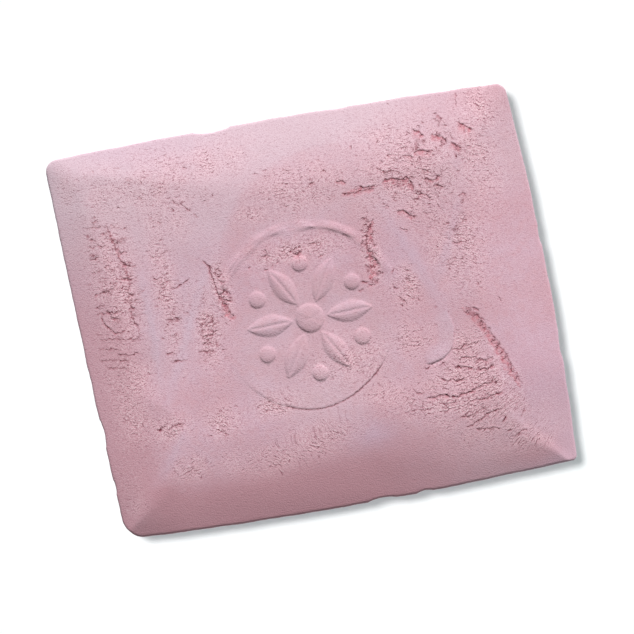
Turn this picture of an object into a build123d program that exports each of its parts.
from build123d import *
import math
import os

# A pressed block of tailor's chalk, in millimetres.
# X runs along its long side, Y across it and Z up. The origin is on the table, under its middle.

# Block, with a face above and a face below the thin rim that draws the line
block_length = 55.0
block_width = 46.0
block_thickness = 6.5
rim_thickness = 1.5
overrun = 5.0
slope_step = 0.01

# Bevels, each measured from the rim to the corner that it would make with the flat land
left_bevel = 7.5
front_bevel = 7.0
right_bevel = 6.5
back_bevel = 7.0
shoulder_radius = 15.0

# Outline of the worn block, counted from the back left corner towards the front left one.
# Each side bows out to the point listed between its two corners.
corner_shares = [(-0.499, 0.496), (-0.478, -0.475), (0.484, -0.492), (0.482, 0.472)]
bow_shares = [(-0.491, 0.0), (0.0, -0.4995), (0.4975, -0.05), (0.0, 0.4945)]
corner_rounds = [1.5, 2.2, 0.5, 1.0]

# Round seal that the die leaves on the upper face: a low disc with a bead near its edge
seal_radius = 10.6
seal_height = 0.15
seal_edge_run = 0.2
seal_offset_x = -0.6
seal_offset_y = -0.7
bead_radius = 9.7
bead_width = 0.9
bead_height = 0.2

# Rosette on the seal: petals, a pearl between each two, and a boss in the middle
petal_count = 6
petal_length = 5.4
petal_width = 2.3
petal_height = 0.4
petal_gap = 0.35
pearl_radius = 0.85
pearl_height = 0.4
pearl_circle_radius = 6.4
boss_radius = 1.6
boss_height = 0.5
stamp_root = 0.1

# Tears where the paste stuck to the die, in rows. Each tear is a pointed groove across its row.
# Some are shorter than the length given, and each is turned a little from the angle given.
tear_width = 0.6
tear_depth = 0.3
tear_turn = 14.0
tear_shorter_share = 0.2
# Where each row starts and ends, in shares of the block, then its tears' count, length and angle
tear_row_shares = [
    (-0.385, 0.315, -0.365, 0.045, 12, 1.9, 12.0),
    (-0.425, 0.250, -0.412, -0.150, 11, 2.4, -6.0),
    (-0.270, 0.140, -0.325, -0.130, 9, 2.0, 10.0),
    (-0.218, 0.065, -0.235, -0.070, 5, 1.9, 18.0),
    (-0.202, 0.180, -0.175, 0.080, 4, 1.4, -30.0),
    (0.152, 0.190, 0.140, 0.090, 4, 1.4, 20.0),
    (0.190, 0.060, 0.240, -0.030, 4, 2.0, -22.0),
    (0.245, 0.190, 0.270, 0.090, 4, 2.0, -20.0),
    (0.330, 0.180, 0.345, 0.030, 6, 2.2, -12.0),
    (0.305, -0.060, 0.392, -0.270, 11, 1.6, 30.0),
    (0.272, -0.165, 0.290, -0.320, 5, 4.6, 9.0),
    (0.335, -0.330, 0.375, -0.400, 4, 2.0, -30.0),
]

# Deeper tears and pits that stand alone: place in shares, then length, width, depth and angle
pit_shares = [
    (-0.165, 0.035, 3.2, 1.2, 0.45, -64.0),
    (0.137, 0.055, 3.4, 1.3, 0.45, 78.0),
    (0.142, 0.273, 4.2, 0.9, 0.40, 3.0),
    (0.228, 0.284, 3.6, 0.8, 0.40, -6.0),
    (0.258, 0.244, 2.6, 0.8, 0.35, -72.0),
    (0.222, 0.205, 2.2, 0.8, 0.35, -18.0),
    (0.300, 0.345, 1.8, 0.9, 0.30, 12.0),
    (0.335, 0.300, 1.5, 0.8, 0.30, -20.0),
    (0.290, 0.270, 1.6, 0.8, 0.30, -35.0),
    (0.395, 0.385, 2.2, 1.0, 0.30, -40.0),
    (0.345, 0.400, 1.4, 0.8, 0.25, 15.0),
    (0.010, 0.155, 1.6, 1.0, 0.40, 50.0),
    (0.345, -0.165, 10.4, 0.9, 0.35, -63.0),
    (0.255, -0.155, 4.4, 0.7, 0.35, 22.0),
]

# Scale of paste that folded over and stuck down on the upper face, over the tears
flake_share = (0.252, -0.115)
flake_length = 5.6
flake_width = 2.6
flake_height = 0.3
flake_root = 0.4
flake_angle = 52.0

# Chips broken out of the rim: side and share along it, then width and depth
chip_shares = [
    ("back", 0.635, 4.6, 0.45),
    ("back", 0.36, 2.4, 0.15),
    ("left", 0.72, 3.4, 0.25),
    ("left", 0.86, 1.8, 0.15),
    ("front", 0.565, 3.6, 0.30),
    ("front", 0.66, 2.0, 0.20),
    ("right", 0.30, 3.0, 0.15),
    ("right", 0.59, 2.2, 0.20),
]

side_names = ["left", "front", "right", "back"]
bevels = [left_bevel, front_bevel, right_bevel, back_bevel]
rim_low = (block_thickness - rim_thickness) / 2
rim_high = rim_low + rim_thickness


def placed(shares):
    """The point of the plan that a pair of shares of the length and width names."""
    return Vector(shares[0] * block_length, shares[1] * block_width)


def side_edges():
    """The four bowed sides of the outline, in order."""
    edges = []
    for i, bow in enumerate(bow_shares):
        start = placed(corner_shares[i])
        end = placed(corner_shares[(i + 1) % len(corner_shares)])
        edges.append(ThreePointArc(start, placed(bow), end))
    return edges


def side_plane(index):
    """An upright plane across one side: its X points inwards from the rim, its Y up."""
    edge = side_edges()[index]
    chord_middle = (edge @ 0 + edge @ 1) / 2
    rim_point = (chord_middle + edge @ 0.5) / 2
    along = (edge @ 1 - edge @ 0).normalized()
    inwards = Vector(-along.Y, along.X)
    return Plane(origin=rim_point, x_dir=inwards, z_dir=inwards.cross(Vector(0, 0, 1)))


def side_roof(index):
    """The space under the bevel and land of one side, above and below the rim."""
    bevel = bevels[index]
    reach = block_length + block_width
    spread = overrun * rim_low / bevel
    section = make_face(
        Polyline(
            (-overrun, rim_low + spread),
            (bevel, 0),
            (reach, 0),
            (reach, block_thickness),
            (bevel, block_thickness),
            (-overrun, rim_high - spread),
            close=True,
        )
    )
    shoulders = section.vertices().sort_by(lambda v: abs(v.X - bevel))[:2]
    section = fillet(shoulders, shoulder_radius)
    return extrude(side_plane(index) * section, reach, both=True)


def bevel_height(inset, bevel):
    """Height of the upper face at a distance inside the rim, where one bevel rules."""
    slope = math.atan2(rim_low, bevel)
    tangent = shoulder_radius * math.tan(slope / 2)
    bevel_end = bevel - tangent * math.cos(slope)
    land_start = bevel + tangent
    if inset <= bevel_end:
        return rim_high + inset * math.tan(slope)
    if inset >= land_start:
        return block_thickness
    sunk = shoulder_radius - math.sqrt(shoulder_radius**2 - (land_start - inset) ** 2)
    return block_thickness - sunk


def face_height(point):
    """Height of the upper face above the table at a point of the plan."""
    heights = []
    for index, bevel in enumerate(bevels):
        inset = side_plane(index).to_local_coords(point).X
        heights.append(bevel_height(inset, bevel))
    return min(heights)


def make_body():
    """The bare block: the outline under the four roofs, with its corners worn round."""
    outline = make_face(Curve() + side_edges())
    body = extrude(outline, block_thickness)
    for shares, radius in zip(corner_shares, corner_rounds):
        corner = placed(shares) + Vector(0, 0, block_thickness / 2)
        upright_edges = body.edges().filter_by(Axis.Z)
        nearest_edge = upright_edges.sort_by_distance(corner)[0]
        body = fillet(nearest_edge, radius)
    for index in range(len(bevels)):
        body = body & side_roof(index)
    return body


def pointed_bowl(length, width, depth):
    """A groove's cutter: two balls' common part, whose bottom is a canoe shape under height zero."""
    half_length = length / 2
    half_width = width / 2
    offset = (half_length**2 - half_width**2) / (2 * half_width)
    lift = (half_length**2 - depth**2) / (2 * depth)
    radius = math.sqrt(half_length**2 + offset**2 + lift**2)
    return Pos(0, offset, lift) * Sphere(radius) & Pos(0, -offset, lift) * Sphere(radius)


def pointed_dome(length, width, height, root):
    """The same canoe shape turned over, standing on height zero with a root under it."""
    slab = Pos(0, 0, (height - root) / 2) * Cylinder(length, height + root)
    return Rot(180, 0, 0) * pointed_bowl(length, width, height) & slab


def ball_cap(radius, height):
    """A low dome on a round foot."""
    ball_radius = (radius**2 + height**2) / (2 * height)
    ball = Pos(0, 0, height - ball_radius) * Sphere(ball_radius)
    return ball & Pos(0, 0, height / 2 - stamp_root / 2) * Cylinder(radius, height + stamp_root)


def make_seal():
    """The seal on height zero: its disc, the bead round it, and the rosette of petals, pearls and boss."""
    thickness = seal_height + stamp_root
    edge_slope = seal_edge_run / seal_height
    disc = Cone(seal_radius + stamp_root * edge_slope, seal_radius - seal_edge_run, thickness)
    tube_radius = ((bead_width / 2) ** 2 + bead_height**2) / (2 * bead_height)
    bead = Pos(0, 0, bead_height - tube_radius) * Torus(bead_radius, tube_radius)
    relief = [bead, ball_cap(boss_radius, boss_height)]
    petal = pointed_dome(petal_length, petal_width, petal_height, stamp_root)
    pearl = ball_cap(pearl_radius, pearl_height)
    step = 360 / petal_count
    for i in range(petal_count):
        reach = boss_radius + petal_gap + petal_length / 2
        relief.append(Rot(0, 0, i * step) * Pos(reach, 0, 0) * petal)
        relief.append(Rot(0, 0, (i + 0.5) * step) * Pos(pearl_circle_radius, 0, 0) * pearl)
    on_disc = Pos(0, 0, seal_height)
    return [Pos(0, 0, (seal_height - stamp_root) / 2) * disc] + [on_disc * piece for piece in relief]


def on_face(point, angle, shape):
    """The shape laid on the upper face at a point of the plan, along its slope, and turned there."""
    height = face_height(point)
    rise_x = face_height(point + Vector(slope_step, 0)) - height
    rise_y = face_height(point + Vector(0, slope_step)) - height
    uphill = Vector(slope_step, 0, rise_x)
    outwards = Vector(-rise_x, -rise_y, slope_step)
    return Plane(origin=(point.X, point.Y, height), x_dir=uphill, z_dir=outwards) * Rot(0, 0, angle) * shape


def make_tears():
    """Every groove and pit of the upper face."""
    cutters = []
    for start_x, start_y, end_x, end_y, count, length, angle in tear_row_shares:
        start = placed((start_x, start_y))
        end = placed((end_x, end_y))
        for i in range(count):
            point = start + (end - start) * (i / (count - 1))
            shorter = 1 - tear_shorter_share * (i * i % count) / count
            turn = angle + tear_turn * math.sin(i * i)
            groove = pointed_bowl(length * shorter, tear_width, tear_depth)
            cutters.append(on_face(point, turn, groove))
    for share_x, share_y, length, width, depth, angle in pit_shares:
        cutters.append(on_face(placed((share_x, share_y)), angle, pointed_bowl(length, width, depth)))
    return cutters


def make_chips():
    """Upright scoops that bite into the rim from outside."""
    edges = side_edges()
    scoops = []
    for side, share, width, depth in chip_shares:
        edge = edges[side_names.index(side)]
        point = edge @ share
        along = edge % share
        outwards = Vector(along.Y, -along.X)
        radius = ((width / 2) ** 2 + depth**2) / (2 * depth)
        centre = point + outwards * (radius - depth)
        scoops.append(Pos(centre.X, centre.Y, block_thickness / 2) * Cylinder(radius, block_thickness))
    return scoops


def make_block():
    """The whole block of chalk."""
    body = make_body()
    seal_place = Pos(seal_offset_x, seal_offset_y, block_thickness)
    block = body + [seal_place * piece for piece in make_seal()]
    block = block - make_tears()
    flake = pointed_dome(flake_length, flake_width, flake_height, flake_root)
    block = block + on_face(placed(flake_share), flake_angle, flake)
    block = block - make_chips()
    middle = block.bounding_box().center()
    return Pos(-middle.X, -middle.Y, 0) * block


os.makedirs("parts", exist_ok=True)
chalk_block = make_block()
print("solids", len(chalk_block.solids()), "volume", round(chalk_block.volume, 1), chalk_block.bounding_box())
export_step(chalk_block, "parts/chalk_block.step")
